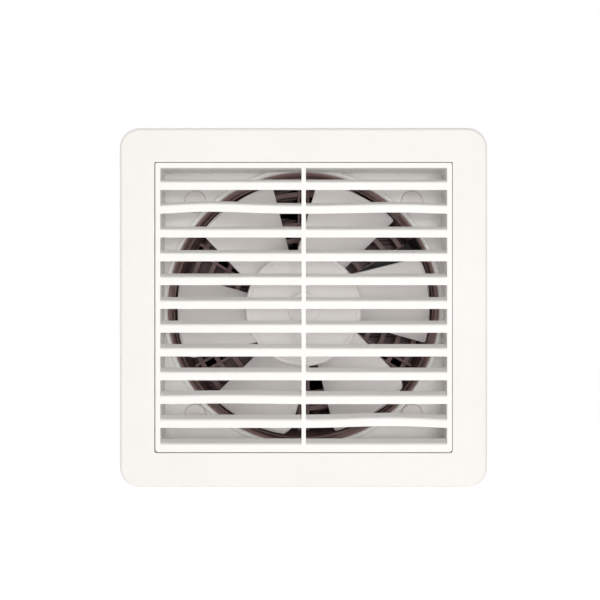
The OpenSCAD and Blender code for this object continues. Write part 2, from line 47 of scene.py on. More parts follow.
# ---- Camera ----
# The photograph is taken straight on from about 0.7 m, a few millimetres below the fan's middle.
# The fan stands a little right of and below the picture's middle, which the lens shift gives.
picture_px = 600
front_mm_per_px = 0.727
camera_distance = 700 * mm
camera_height = -8 * mm
fan_right_px = 3.5
fan_down_px = 7.5
frame_low, frame_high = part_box("front_frame")
front_y = frame_low.y

camera = bpy.data.objects.new("camera", bpy.data.cameras.new("camera"))
bpy.context.collection.objects.link(camera)
bpy.context.scene.camera = camera
camera.location = (0, front_y - camera_distance, camera_height)
camera.rotation_euler = (math.radians(90), 0, 0)
camera.data.sensor_width = 36
picture_width = picture_px * front_mm_per_px * mm
camera.data.lens = camera.data.sensor_width * camera_distance / picture_width
camera.data.shift_x = -fan_right_px / picture_px
camera.data.shift_y = fan_down_px / picture_px - camera_height / picture_width


# ---- Studio ----
# A white room with a pale floor well below the fan. The picture's ground is plain white.
# One soft lamp stands behind the camera, a little to the right, and a second above and behind the fan.
# The room's own light fills the rest.
bpy.context.scene.view_settings.view_transform = "Standard"


def linear(colour):
    """An sRGB hex colour as linear RGBA."""
    parts = [int(colour[i:i + 2], 16) / 255 for i in (1, 3, 5)]
    return [c / 12.92 if c <= 0.04045 else ((c + 0.055) / 1.055) ** 2.4 for c in parts] + [1.0]


def add_node(tree, kind, inputs=None, **settings):
    """Adds a shader node, sets its fields, and fills or links its sockets."""
    made = tree.nodes.new(kind)
    for field, value in settings.items():
        setattr(made, field, value)
    for socket, value in (inputs or {}).items():
        if isinstance(value, bpy.types.NodeSocket):
            tree.links.new(value, made.inputs[socket])
        else:
            made.inputs[socket].default_value = value
    return made


def empty_tree(owner):
    """Opens a material's or world's node tree and clears it."""
    owner.use_nodes = True
    owner.node_tree.nodes.clear()
    return owner.node_tree


room_light = 0.39
lamp_tint = (1.0, 0.995, 0.99)
floor_drop = 450 * mm
# What the floor gives off of its own, and what is added to that where only the camera sees it.
floor_glow = 0.25
floor_glow_seen = 0.45

world = bpy.data.worlds.new("white_room")
bpy.context.scene.world = world
tree = empty_tree(world)
rays = add_node(tree, "ShaderNodeLightPath")
seen = add_node(tree, "ShaderNodeMath",
                {0: rays.outputs["Is Camera Ray"], 1: rays.outputs["Is Glossy Ray"]}, operation="MAXIMUM")
seen = add_node(tree, "ShaderNodeMath",
                {0: seen.outputs[0], 1: rays.outputs["Is Transmission Ray"]}, operation="MAXIMUM")
fill = add_node(tree, "ShaderNodeBackground", {"Color": linear("#fffdfc"), "Strength": room_light})
ground = add_node(tree, "ShaderNodeBackground", {"Color": linear("#ffffff"), "Strength": 1.0})
mix = add_node(tree, "ShaderNodeMixShader", {0: seen.outputs[0], 1: fill.outputs[0], 2: ground.outputs[0]})
add_node(tree, "ShaderNodeOutputWorld", {"Surface": mix.outputs[0]})


def soft_lamp(name, place, size, energy):
    """A round soft lamp, in metres and watts, that looks at the fan."""
    light = bpy.data.lights.new(name, "AREA")
    light.shape = "DISK"
    light.size = size
    light.energy = energy
    light.color = lamp_tint
    lamp = bpy.data.objects.new(name, light)
    bpy.context.collection.objects.link(lamp)
    lamp.location = place
    lamp.rotation_mode = "QUATERNION"
    lamp.rotation_quaternion = (-lamp.location).to_track_quat("-Z", "Y")


soft_lamp("front_lamp", place=(0.14, -1.8, 0.06), size=0.6, energy=14.6)
soft_lamp("back_lamp", place=(-0.5, 1.3, 1.0), size=1.0, energy=12.0)

bpy.ops.object.select_all(action="DESELECT")
bpy.ops.mesh.primitive_plane_add(size=16, location=(0, 0, -floor_drop))
floor = bpy.context.object
floor.name = "floor"
# Matt white floor paint: no shine, and as bright as the white ground where only the camera sees it.
floor_paint = bpy.data.materials.new("matt_white_floor_paint")
tree = empty_tree(floor_paint)
rays = add_node(tree, "ShaderNodeLightPath")
matt = add_node(tree, "ShaderNodeBsdfDiffuse", {"Color": linear("#e8e8e7")})
glow_level = add_node(tree, "ShaderNodeMath",
                      {0: rays.outputs["Is Camera Ray"], 1: floor_glow_seen, 2: floor_glow},
                      operation="MULTIPLY_ADD")
glow = add_node(tree, "ShaderNodeEmission", {"Strength": glow_level.outputs[0]})
both = add_node(tree, "ShaderNodeAddShader", {0: matt.outputs[0], 1: glow.outputs[0]})
add_node(tree, "ShaderNodeOutputMaterial", {"Surface": both.outputs[0]})
floor.data.materials.append(floor_paint)


# ---- Front frame ----
# The moulding that faces the room: white ABS, injection moulded, with a soft edge and round corners.
# It pulls forward off four spring clips, and its folded-in skirt guides the louvre grille.
def only(piece):
    """Makes a piece the one selected and active object."""
    bpy.ops.object.select_all(action="DESELECT")
    piece.select_set(True)
    bpy.context.view_layer.objects.active = piece


def settle(piece, name):
    """Names a piece and puts its place into its mesh."""
    piece.name = name
    piece.data.name = name
    only(piece)
    bpy.ops.object.transform_apply(location=True, rotation=True, scale=True)
    return piece


def rounded_block(name, width, height, front, back, lower_corner, upper_corner=None, steps=8):
    """A plate that faces the room, its corners rounded, drawn back to its depth."""
    bpy.ops.object.select_all(action="DESELECT")
    bpy.ops.mesh.primitive_plane_add(size=1, location=(0, front, 0), rotation=(math.radians(90), 0, 0))
    block = bpy.context.object
    block.scale = (width, height, 1)
    settle(block, name)
    bpy.ops.object.mode_set(mode="EDIT")
    bpy.ops.mesh.select_mode(type="VERT")
    bpy.ops.mesh.select_all(action="DESELECT")
    bpy.ops.object.mode_set(mode="OBJECT")
    upper_corner = lower_corner if upper_corner is None else upper_corner
    for corner, side in ((lower_corner, -1), (upper_corner, 1)):
        for vertex in block.data.vertices:
            vertex.select = side * vertex.co.z > height / 2 - 1e-6
        bpy.ops.object.mode_set(mode="EDIT")
        bpy.ops.mesh.bevel(affect="VERTICES", offset=corner, segments=steps)
        bpy.ops.mesh.select_all(action="DESELECT")
        bpy.ops.object.mode_set(mode="OBJECT")
    bpy.ops.object.mode_set(mode="EDIT")
    bpy.ops.mesh.select_all(action="SELECT")
    bpy.ops.mesh.extrude_region_move(TRANSFORM_OT_translate={"value": (0, back - front, 0)})
    bpy.ops.mesh.select_all(action="SELECT")
    bpy.ops.mesh.normals_make_consistent(inside=False)
    bpy.ops.object.mode_set(mode="OBJECT")
    return block


def bevel_front_rim(block, front, offset, steps):
    """Rounds the edge between a block's front face and its sides."""
    only(block)
    bpy.ops.object.mode_set(mode="EDIT")
    bpy.ops.mesh.select_mode(type="FACE")
    bpy.ops.mesh.select_all(action="DESELECT")
    bpy.ops.object.mode_set(mode="OBJECT")
    for face in block.data.polygons:
        face.select = face.normal.y < -0.9 and abs(face.center.y - front) < 1e-5
    bpy.ops.object.mode_set(mode="EDIT")
    bpy.ops.mesh.region_to_loop()
    bpy.ops.mesh.bevel(affect="EDGES", offset=offset, segments=steps)
    bpy.ops.object.mode_set(mode="OBJECT")


def box_block(name, low, high):
    """A block between two corners, as a start for trimming or cutting."""
    bpy.ops.object.select_all(action="DESELECT")
    middle = [(a + b) / 2 for a, b in zip(low, high)]
    bpy.ops.mesh.primitive_cube_add(size=1, location=middle)
    block = bpy.context.object
    block.scale = [b - a for a, b in zip(low, high)]
    return settle(block, name)


# Neighbouring faces within this angle count as one flat face.
same_plane = math.radians(0.6)
# The thinnest faces that a rounding leaves, to be merged after it.
finest_sliver = 0.002 * mm
# Edges sharper than the first are rounded, and those flatter than the second are shaded smooth, in degrees.
rounded_from = 38
smooth_below = 40


def combine(piece, tool, operation):
    """Cuts the tool's shape out of a piece (DIFFERENCE) or fuses it on (UNION), and drops the tool."""
    only(piece)
    boolean = piece.modifiers.new("combine", "BOOLEAN")
    boolean.object = tool
    boolean.operation = operation
    boolean.solver = "EXACT"
    bpy.ops.object.modifier_apply(modifier=boolean.name)
    bpy.data.objects.remove(tool, do_unlink=True)


def merge_slivers(piece):
    """Merges the hair-thin faces that cuts leave, because rounding would fold them over."""
    shortest_kept = 0.06 * mm
    thinnest_kept = 0.02 * mm
    only(piece)
    bpy.ops.object.mode_set(mode="EDIT")
    bpy.ops.mesh.select_all(action="SELECT")
    bpy.ops.mesh.remove_doubles(threshold=shortest_kept)
    bpy.ops.mesh.dissolve_degenerate(threshold=thinnest_kept)
    bpy.ops.mesh.dissolve_limited(angle_limit=same_plane)
    bpy.ops.object.mode_set(mode="OBJECT")


def round_edges(piece, width, steps, sharp_degrees, limit_width=True, sliver=0):
    """Rounds a piece's sharp edges, as a mould leaves them, and marks the new faces for the wear along them.
    limit_width keeps the rounding from crossing itself. It is off where a few short edges or acute corners
    would hold it back over the whole piece. Faces thinner than a sliver are merged afterwards."""
    only(piece)
    piece.data.materials.clear()
    piece.data.materials.append(None)
    piece.data.materials.append(None)
    edge = piece.modifiers.new("edge", "BEVEL")
    edge.width = width
    edge.segments = steps
    edge.limit_method = "ANGLE"
    edge.angle_limit = math.radians(sharp_degrees)
    edge.material = 1
    edge.use_clamp_overlap = limit_width
    bpy.ops.object.modifier_apply(modifier=edge.name)
    if sliver:
        bpy.ops.object.mode_set(mode="EDIT")
        bpy.ops.mesh.select_all(action="SELECT")
        bpy.ops.mesh.remove_doubles(threshold=sliver)
        bpy.ops.mesh.dissolve_degenerate(threshold=sliver)
        bpy.ops.object.mode_set(mode="OBJECT")
    worn = piece.data.attributes.new("rounded_edge", "FLOAT", "CORNER")
    for face in piece.data.polygons:
        for corner in face.loop_indices:
            worn.data[corner].value = face.material_index
        face.material_index = 0


def soften(piece, width, steps=2, limit_width=True, sliver=0):
    """Rounds a piece's sharp edges, and keeps its flat faces flat in the light."""
    round_edges(piece, width, steps, rounded_from, limit_width, sliver)
    bpy.ops.object.shade_smooth_by_angle(angle=math.radians(smooth_below))
    flat = piece.modifiers.new("flat", "WEIGHTED_NORMAL")
    flat.keep_sharp = True
    bpy.ops.object.modifier_apply(modifier=flat.name)
    return piece


def fit(piece, material, slot_name, body, *nodes):
    """Gives a finished piece its material, and hangs it on its body in place of the plain nodes."""
    piece.data.materials.clear()
    piece.data.materials.append(material)
    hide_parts(*nodes)
    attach(piece, body)


def per_mm(size):
    """A texture scale at which the pattern repeats about every so many millimetres."""
    return 1 / (size * mm)


def edge_wear(tree, place):
    """How far the surface is rubbed: along rounded edges only, and in patches a few millimetres long."""
    patches = add_node(tree, "ShaderNodeTexNoise", {"Vector": place, "Scale": per_mm(7), "Detail": 3.0})
    patchy = add_node(tree, "ShaderNodeMapRange",
                      {"Value": patches.outputs["Fac"], "From Min": 0.4, "From Max": 0.65})
    edge = add_node(tree, "ShaderNodeAttribute", attribute_name="rounded_edge")
    return add_node(tree, "ShaderNodeMath", {0: edge.outputs["Fac"], 1: patchy.outputs["Result"]},
                    operation="MULTIPLY").outputs[0]


def moulded_plastic(name, colour, shade, rubbed, roughness, grain_mm, grain_depth_mm, cloud_mm=40, ior=1.5):
    """Moulded plastic: a body colour that drifts a little, fine tool grain, and rubbed, smoother edges.
    The grain is drawn two or three times coarser than real, so that it shows at this distance."""
    more_matt, less_matt, edge_gloss = 0.07, 0.05, 0.12
    material = bpy.data.materials.new(name)
    tree = empty_tree(material)
    place = add_node(tree, "ShaderNodeTexCoord").outputs["Object"]
    wear = edge_wear(tree, place)
    cloud = add_node(tree, "ShaderNodeTexNoise", {"Vector": place, "Scale": per_mm(cloud_mm), "Detail": 3.0})
    drift = add_node(tree, "ShaderNodeValToRGB", {"Fac": cloud.outputs["Fac"]})
    drift.color_ramp.elements[0].position = 0.35
    drift.color_ramp.elements[0].color = linear(shade)
    drift.color_ramp.elements[1].position = 0.65
    drift.color_ramp.elements[1].color = linear(colour)
    rub = add_node(tree, "ShaderNodeTexNoise", {"Vector": place, "Scale": per_mm(6), "Detail": 4.0})
    gloss = add_node(tree, "ShaderNodeMapRange", {
        "Value": rub.outputs["Fac"], "From Min": 0.3, "From Max": 0.7,
        "To Min": roughness - less_matt, "To Max": roughness + more_matt})
    tone = add_node(tree, "ShaderNodeMix",
                    {"Factor": wear, "A": drift.outputs["Color"], "B": linear(rubbed)}, data_type="RGBA")
    smooth = add_node(tree, "ShaderNodeMath",
                      {0: wear, 1: -edge_gloss, 2: gloss.outputs["Result"]}, operation="MULTIPLY_ADD")
    grain = add_node(tree, "ShaderNodeTexNoise", {"Vector": place, "Scale": per_mm(grain_mm), "Detail": 2.0})
    bump = add_node(tree, "ShaderNodeBump", {"Height": grain.outputs["Fac"], "Strength": 1.0,
                                             "Distance": grain_depth_mm * mm})
    plastic = add_node(tree, "ShaderNodeBsdfPrincipled", {
        "Base Color": tone.outputs["Result"], "Roughness": smooth.outputs[0],
        "IOR": ior, "Normal": bump.outputs["Normal"]})
    add_node(tree, "ShaderNodeOutputMaterial", {"Surface": plastic.outputs["BSDF"]})
    return material


# White ABS from a finely blasted tool: a warm near-white with no shine and barely any grain.
frame_abs = moulded_plastic("satin_white_abs", "#f4f2ee", "#f2f0ec", "#f7f6f3",
                            roughness=0.55, grain_mm=0.5, grain_depth_mm=0.012)

# How far a cutter reaches past the surface that it cuts.
just_past = 2 * mm
well_past = 5 * mm
wall = 2.5 * mm
frame_corner = 14.5 * mm
frame_edge = 3 * mm
opening_w = 216.9 * mm
opening_h = 211.6 * mm
opening_lower_corner = 1.6 * mm
opening_upper_corner = 0.8 * mm
skirt_w = opening_w + 4.5 * mm
skirt_h = opening_h + 4.5 * mm
skirt_corner = 6 * mm
skirt_back = -11.2 * mm
# Four ledges inside the skirt stop the grille: how far in and out they reach, and where they stand.
ledge_inner = 106.45 * mm
ledge_outer = 109.2 * mm
ledge_front = front_y + 9.1 * mm
ledge_height = 70 * mm
ledge_half = 7 * mm
frame_w = frame_high.x - frame_low.x
frame_h = frame_high.z - frame_low.z

front_shell = rounded_block("front_frame_moulding", frame_w, frame_h, front_y, frame_high.y,
                            frame_corner, steps=12)
bevel_front_rim(front_shell, front_y, frame_edge, 8)
hollow = rounded_block("frame_hollow", frame_w - 2 * wall, frame_h - 2 * wall, front_y + wall, well_past,
                       frame_corner - wall, steps=12)
bevel_front_rim(hollow, front_y + wall, frame_edge - wall, 6)
combine(front_shell, hollow, "DIFFERENCE")
skirt = rounded_block("frame_skirt", skirt_w, skirt_h, front_y + 1 * mm, skirt_back, skirt_corner)
combine(front_shell, skirt, "UNION")
opening = rounded_block("frame_opening", opening_w, opening_h, front_y - well_past, 0,
                        opening_lower_corner, opening_upper_corner)
combine(front_shell, opening, "DIFFERENCE")
for side in (-1, 1):
    for height in (-ledge_height, ledge_height):
        inner, outer = sorted((side * ledge_inner, side * ledge_outer))
        ledge = box_block("frame_ledge", (inner, ledge_front, height - ledge_half),
                          (outer, skirt_back, height + ledge_half))
        combine(front_shell, ledge, "UNION")
merge_slivers(front_shell)
soften(front_shell, 0.35 * mm, steps=3, limit_width=False, sliver=finest_sliver)
fit(front_shell, frame_abs, "frame_white", "front_frame", "front_frame")


# ---- Louvre grille ----
# A second white ABS moulding that snaps into the frame and leaves a thin parting line all round.
# Its bars slope up towards the back; two of them, and faintly a third, have warped upwards.
# The same ABS from a smoother tool: a shade whiter and cleaner than the frame about it.
grille_abs = moulded_plastic("satin_white_grille_abs", "#f7f6f3", "#f6f5f1", "#faf9f7",
                             roughness=0.5, grain_mm=0.5, grain_depth_mm=0.010)

grille_low, grille_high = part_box("louvre_grille")
grille_w = grille_high.x - grille_low.x
grille_h = grille_high.z - grille_low.z
grille_back = front_y + 9 * mm
bar_depth = 8 * mm
bar_count = 11
bar_pitch = 17.3 * mm
bar_first = 88.5 * mm
bar_height = 6.05 * mm
bar_rise = 2.45 * mm
side_rail = 3.5 * mm
top_rail = 3.6 * mm
bottom_rail = 6.1 * mm
mullion = 3.1 * mm
slot_corner = 0.7 * mm
slot_steps = 14
# Four tongues behind the side rails slide into the skirt.
tongue_inner = 106.05 * mm
tongue_outer = 107.65 * mm
tongue_height = 45 * mm
tongue_half = 6 * mm
# A bar's upper front edge is rounded off far more than its lower one.
bar_round = 1.3 * mm
# The grille sits a hair to the right in its opening, so the parting line is wider on the left.
grille_play = 0.15 * mm
# Warped bars, counted from the top: (bar, side, where it peaks from the middle, how far it rises).
warps = ((2, -1, 68 * mm, 1.45 * mm), (2, 1, 66 * mm, 0.9 * mm), (11, 1, 63 * mm, 1.3 * mm),
         (10, -1, 55 * mm, 0.5 * mm))
warp_steepness = 1.3


def warp_of(bar, x):
    """How far a bar stands above its place at x, which is nothing at the mullion and the rail."""
    span = grille_w / 2 - side_rail - mullion / 2
    along = min(max((abs(x) - mullion / 2) / span, 0.0), 1.0)
    lift = 0.0
    for warped_bar, side, peak, height in warps:
        if warped_bar == bar and side * x > 0:
            skew = math.log(0.5) / math.log((peak - mullion / 2) / span)
            lift += height * math.sin(math.pi * along ** skew) ** warp_steepness
    return lift


def louvre_slot(number, side):
    """The gap between two bars, on one side of the mullion, as a block to cut with."""
    bottom_limit = -grille_h / 2 + bottom_rail
    top_limit = grille_h / 2 - top_rail
    upper = top_limit if number == 1 else bar_first - (number - 2) * bar_pitch - bar_height / 2
    lower = bottom_limit if number == bar_count + 1 else bar_first - (number - 1) * bar_pitch + bar_height / 2
    inner = mullion / 2
    outer = grille_w / 2 - side_rail
    cutter = rounded_block("slot", outer - inner, upper - lower, front_y - just_past, grille_back + 1 * mm,
                           slot_corner, steps=3)
    cutter.location = (side * (inner + outer) / 2, 0, (upper + lower) / 2)
    settle(cutter, "slot")
    bpy.ops.object.mode_set(mode="EDIT")
    for step in range(1, slot_steps):
        x = side * (inner + (outer - inner) * step / slot_steps)
        bpy.ops.mesh.select_all(action="SELECT")
        bpy.ops.mesh.bisect(plane_co=(x, 0, 0), plane_no=(1, 0, 0))
    for degrees in (0, 18, 36, 54, 72, 90):
        depth = front_y + bar_round * (1 - math.sin(math.radians(degrees)))
        bpy.ops.mesh.select_all(action="SELECT")
        bpy.ops.mesh.bisect(plane_co=(0, depth, 0), plane_no=(0, 1, 0))
    bpy.ops.object.mode_set(mode="OBJECT")
    middle = (upper + lower) / 2
    for vertex in cutter.data.vertices:
        if vertex.co.z < middle:
            short = bar_round - min(max(vertex.co.y - front_y, 0), bar_round)
            vertex.co.z -= bar_round - math.sqrt(bar_round ** 2 - short ** 2)
        bar = number - 1 if vertex.co.z > middle else number
        slope = bar_rise / bar_depth * (vertex.co.y - front_y)
        straight_top = number == 1 and bar == 0
        straight_bottom = number == bar_count + 1 and bar == number
        if not straight_top and not straight_bottom:
            vertex.co.z += warp_of(bar, vertex.co.x)
        if not straight_top:
            vertex.co.z += slope
    return cutter


grille = rounded_block("louvre_grille_moulding", grille_w, grille_h, front_y, grille_back,
                       opening_lower_corner + 0.7 * mm, opening_upper_corner + 0.5 * mm)
slots = [louvre_slot(number, side) for number in range(1, bar_count + 2) for side in (-1, 1)]
only(slots[0])
for slot_block in slots:
    slot_block.select_set(True)
bpy.ops.object.join()
combine(grille, slots[0], "DIFFERENCE")
for side in (-1, 1):
    for height in (-tongue_height, tongue_height):
        inner, outer = sorted((side * tongue_inner, side * tongue_outer))
        tongue = box_block("grille_tongue", (inner, grille_back - 1 * mm, height - tongue_half),
                           (outer, grille_high.y, height + tongue_half))
        combine(grille, tongue, "UNION")
soften(grille, 0.3 * mm, steps=2)
grille.data.transform(Matrix.Translation((grille_play, 0, 0)))
fit(grille, grille_abs, "grille_white", "grille", "louvre_grille")


# ---- Wall housing ----
# The deep tray behind the grille, moulded in the same white ABS: a flange on the wall, four side walls,
# and a back plate with a raised bead round the duct mouth. Its four wall screws lie under the front frame.
def turned(name, section, steps):
    """Spins a closed section, given as (radius, depth) points, once round the shaft's line."""
    bpy.ops.object.select_all(action="DESELECT")
    bpy.ops.mesh.primitive_circle_add(vertices=len(section), radius=1)
    piece = bpy.context.object
    settle(piece, name)
    for vertex, (radius, depth) in zip(piece.data.vertices, section):
        vertex.co = (radius, depth, 0)
    bpy.ops.object.mode_set(mode="EDIT")
    bpy.ops.mesh.select_all(action="SELECT")
    bpy.ops.mesh.spin(steps=steps, angle=math.radians(360), center=(0, 0, 0), axis=(0, 1, 0))
    bpy.ops.mesh.select_all(action="SELECT")
    bpy.ops.mesh.remove_doubles(threshold=1e-6)
    bpy.ops.mesh.normals_make_consistent(inside=False)
    bpy.ops.object.mode_set(mode="OBJECT")
    return piece


def arc_points(radius, depth, size, start, end, steps=5):
    """Points of a rounded corner in a section, from one angle to another, in degrees."""
    angles = [math.radians(start + (end - start) * i / steps) for i in range(steps + 1)]
    return [(radius + size * math.cos(a), depth + size * math.sin(a)) for a in angles]


# ABS from a coarser tool: as white as the frame, but in the fan's own shade it reads light grey.
housing_abs = moulded_plastic("satin_white_housing_abs", "#f5f3f1", "#f0eeeb", "#f8f7f5",
                              roughness=0.55, grain_mm=0.6, grain_depth_mm=0.014)

round_steps = 128
housing_low, housing_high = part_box("wall_housing")
tray_w = 216.4 * mm
tray_h = 211.1 * mm
tray_corner = 4 * mm
tray_front = -10.8 * mm
tray_back = housing_high.y
plate_front = tray_back - wall
housing_corner = 6.5 * mm
flange_front = -6 * mm
flange_back = -2.5 * mm
flange_corner = 12.5 * mm
mouth_radius = 106.2 * mm
bead_inner_round = 2.0 * mm
bead_outer_round = 1.3 * mm
bead_crest = 0.1 * mm
bead_height = 2.7 * mm
bead_steps = 6
fixing_hole = 2.5 * mm
fixing_x = 120.5 * mm
fixing_z = 118 * mm
boss_x = 84.5 * mm
boss_z = 83.1 * mm
cap_pocket = 8.6 * mm
pocket_floor = plate_front + 0.8 * mm
screw_seat = 5.5 * mm
seat_floor = plate_front + 1.2 * mm
screw_clearance = 2.2 * mm

housing = rounded_block("wall_housing_moulding", tray_w + 2 * wall, tray_h + 2 * wall, tray_front, tray_back,
                        housing_corner)
flange = rounded_block("housing_flange", housing_high.x - housing_low.x, housing_high.z - housing_low.z,
                       flange_front, flange_back, flange_corner)
combine(housing, flange, "UNION")
tray = rounded_block("housing_tray", tray_w, tray_h, tray_front - well_past, plate_front, tray_corner)
combine(housing, tray, "DIFFERENCE")
# The bead's section runs on through the plate, so the bead alone makes the mouth's wall.
bead_top = plate_front - bead_height
bead_middle = mouth_radius + bead_inner_round
bead_outside = bead_middle + bead_crest
bead = turned("mouth_bead", [(mouth_radius, tray_back)]
              + arc_points(bead_middle, bead_top + bead_inner_round, bead_inner_round, 180, 270, bead_steps)
              + arc_points(bead_outside, bead_top + bead_outer_round, bead_outer_round, -90, 0, bead_steps)
              + [(bead_outside + bead_outer_round, tray_back)], round_steps)


def drill(piece, x, z, radius, front, back, sides=32):
    """Cuts a round hole through a piece, front to back."""
    bpy.ops.object.select_all(action="DESELECT")
    bpy.ops.mesh.primitive_cylinder_add(vertices=sides, radius=radius, depth=back - front,
                                        location=(x, (front + back) / 2, z),
                                        rotation=(math.radians(90), 0, 0))
    combine(piece, settle(bpy.context.object, "drill"), "DIFFERENCE")


drill(housing, 0, 0, bead_middle, plate_front - well_past, tray_back + just_past, round_steps)
combine(housing, bead, "UNION")
for x in (-fixing_x, fixing_x):
    for z in (-fixing_z, fixing_z):
        drill(housing, x, z, fixing_hole, flange_front - just_past, 0)
for x in (-boss_x, boss_x):
    for z in (-boss_z, boss_z):
        drill(housing, x, z, cap_pocket, plate_front - well_past, pocket_floor, 48)
        drill(housing, x, z, screw_seat, plate_front - well_past, seat_floor)
        drill(housing, x, z, screw_clearance, plate_front - well_past, tray_back + just_past)
merge_slivers(housing)
soften(housing, 0.35 * mm, steps=3, limit_width=False, sliver=finest_sliver)
fit(housing, housing_abs, "housing_white", "fan_body", "wall_housing")


# ---- Foam gasket ----
# Die-cut closed-cell foam stuck to the back of the flange. It seals the fan against the pane.
# The cells show as fine pits.
def closed_cell_foam():
    """Closed-cell foam: pits where the cells are cut, drawn at 0.8 mm, larger than real, so that they show.
    Dust lies on it in patches."""
    material = bpy.data.materials.new("closed_cell_foam")
    tree = empty_tree(material)
    place = add_node(tree, "ShaderNodeTexCoord").outputs["Object"]
    cells = add_node(tree, "ShaderNodeTexVoronoi", {"Vector": place, "Scale": per_mm(0.8)})
    tone = add_node(tree, "ShaderNodeValToRGB", {"Fac": cells.outputs["Distance"]})
    tone.color_ramp.elements[0].color = linear("#454648")
    tone.color_ramp.elements[1].color = linear("#67686a")
    dust = add_node(tree, "ShaderNodeTexNoise", {"Vector": place, "Scale": per_mm(25), "Detail": 4.0})
    dusty = add_node(tree, "ShaderNodeMapRange", {
        "Value": dust.outputs["Fac"], "From Min": 0.45, "From Max": 0.75, "To Max": 0.4})
    rubbed = add_node(tree, "ShaderNodeMath",
                      {0: dusty.outputs["Result"], 1: edge_wear(tree, place)}, operation="MAXIMUM")
    greyed = add_node(tree, "ShaderNodeMix", {"Factor": rubbed.outputs[0], "A": tone.outputs["Color"],
                                              "B": linear("#7d7d7b")}, data_type="RGBA")
    dry = add_node(tree, "ShaderNodeMapRange",
                   {"Value": cells.outputs["Distance"], "To Min": 0.85, "To Max": 0.97})
    bump = add_node(tree, "ShaderNodeBump", {"Height": cells.outputs["Distance"], "Strength": 0.8,
                                             "Distance": 0.15 * mm})
    foam = add_node(tree, "ShaderNodeBsdfPrincipled", {
        "Base Color": greyed.outputs["Result"], "Roughness": dry.outputs["Result"], "IOR": 1.4,
        "Normal": bump.outputs["Normal"]})
    add_node(tree, "ShaderNodeOutputMaterial", {"Surface": foam.outputs["BSDF"]})
    return material


gasket_low, gasket_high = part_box("foam_gasket")
gasket_corner = 11 * mm
gasket_inner_corner = 7 * mm
gasket_room = 0.6 * mm
gasket_hole = fixing_hole + 0.5 * mm
gasket_start = gasket_low.y - just_past
gasket_end = gasket_high.y + just_past
gasket = rounded_block("foam_gasket_strip", gasket_high.x - gasket_low.x, gasket_high.z - gasket_low.z,
                       gasket_low.y, gasket_high.y, gasket_corner)
gasket_inside = rounded_block("gasket_inside", tray_w + 2 * wall + 2 * gasket_room,
                              tray_h + 2 * wall + 2 * gasket_room, gasket_start, gasket_end,
                              gasket_inner_corner)
combine(gasket, gasket_inside, "DIFFERENCE")
for x in (-fixing_x, fixing_x):
    for z in (-fixing_z, fixing_z):
        drill(gasket, x, z, gasket_hole, gasket_start, gasket_end)
soften(gasket, 0.25 * mm)
fit(gasket, closed_cell_foam(), "foam", "fan_body", "foam_gasket")


# ---- Screw caps ----
# Four push-in caps of white polypropylene, each in a shallow pocket of the plate, over a tie screw's head.
# They stand a little proud, with a soft rim and a thin gap all round.
# Polypropylene is a little greyer and waxier than the ABS about it, so the caps just stand out.
cap_plastic = moulded_plastic("waxy_white_cap_polypropylene", "#ece8e6", "#e6e1df", "#f2efed",
                              roughness=0.5, grain_mm=0.6, grain_depth_mm=0.012, cloud_mm=20, ior=1.49)
cap_radius = 8.2 * mm
cap_height = 2.4 * mm
cap_rim = 0.9 * mm
# The top is all but flat: how far out the flat reaches, and how far it falls there and at the rim.
cap_flat_share = 0.6
cap_flat_fall = 0.05 * mm
cap_rim_fall = 0.1 * mm
cap_spigot = 5.4 * mm
cap_bore = 4.6 * mm
cap_top = plate_front - cap_height
cap_inside = cap_top + 0.9 * mm
spigot_end = seat_floor - 0.1 * mm
cap = turned("screw_cap", [(0, cap_inside), (0, cap_top),
                           (cap_radius * cap_flat_share, cap_top + cap_flat_fall)]
             + arc_points(cap_radius - cap_rim, cap_top + cap_rim + cap_rim_fall, cap_rim, -90, 0)
             + [(cap_radius, pocket_floor), (cap_spigot, pocket_floor), (cap_spigot, spigot_end),
                (cap_bore, spigot_end), (cap_bore, cap_inside)], 48)
soften(cap, 0.12 * mm)
places = [(x, z) for x in (-boss_x, boss_x) for z in (-boss_z, boss_z)]
for number, (x, z) in enumerate(places, 1):
    one = cap.copy()
    one.data = cap.data.copy()
    one.name = f"screw_cap_{number}"
    bpy.context.collection.objects.link(one)
    one.data.transform(Matrix.Translation((x, 0, z)))
    fit(one, cap_plastic, "housing_white", "fan_body", "screw_caps")
bpy.data.objects.remove(cap, do_unlink=True)


# ---- Screws, nuts and clips ----
# Zinc-plated steel: cross-slot screws and nuts that tie plate, duct, guard and shutter together,
# and the four spring clips on the flange that grip the front frame.
def cleaned_copy(node_name, name, edge, steps=2, limit_width=True, sliver=0):
    """A copy of a solid with its triangles merged into clean faces and its edges softened."""
    piece = bpy.data.objects.new(name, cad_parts[node_name].data.copy())
    bpy.context.collection.objects.link(piece)
    only(piece)
    bpy.ops.object.mode_set(mode="EDIT")
    bpy.ops.mesh.select_all(action="SELECT")
    bpy.ops.mesh.remove_doubles(threshold=2e-6)
    bpy.ops.mesh.dissolve_limited(angle_limit=same_plane)
    bpy.ops.object.mode_set(mode="OBJECT")
    return soften(piece, edge, steps, limit_width=limit_width, sliver=sliver)


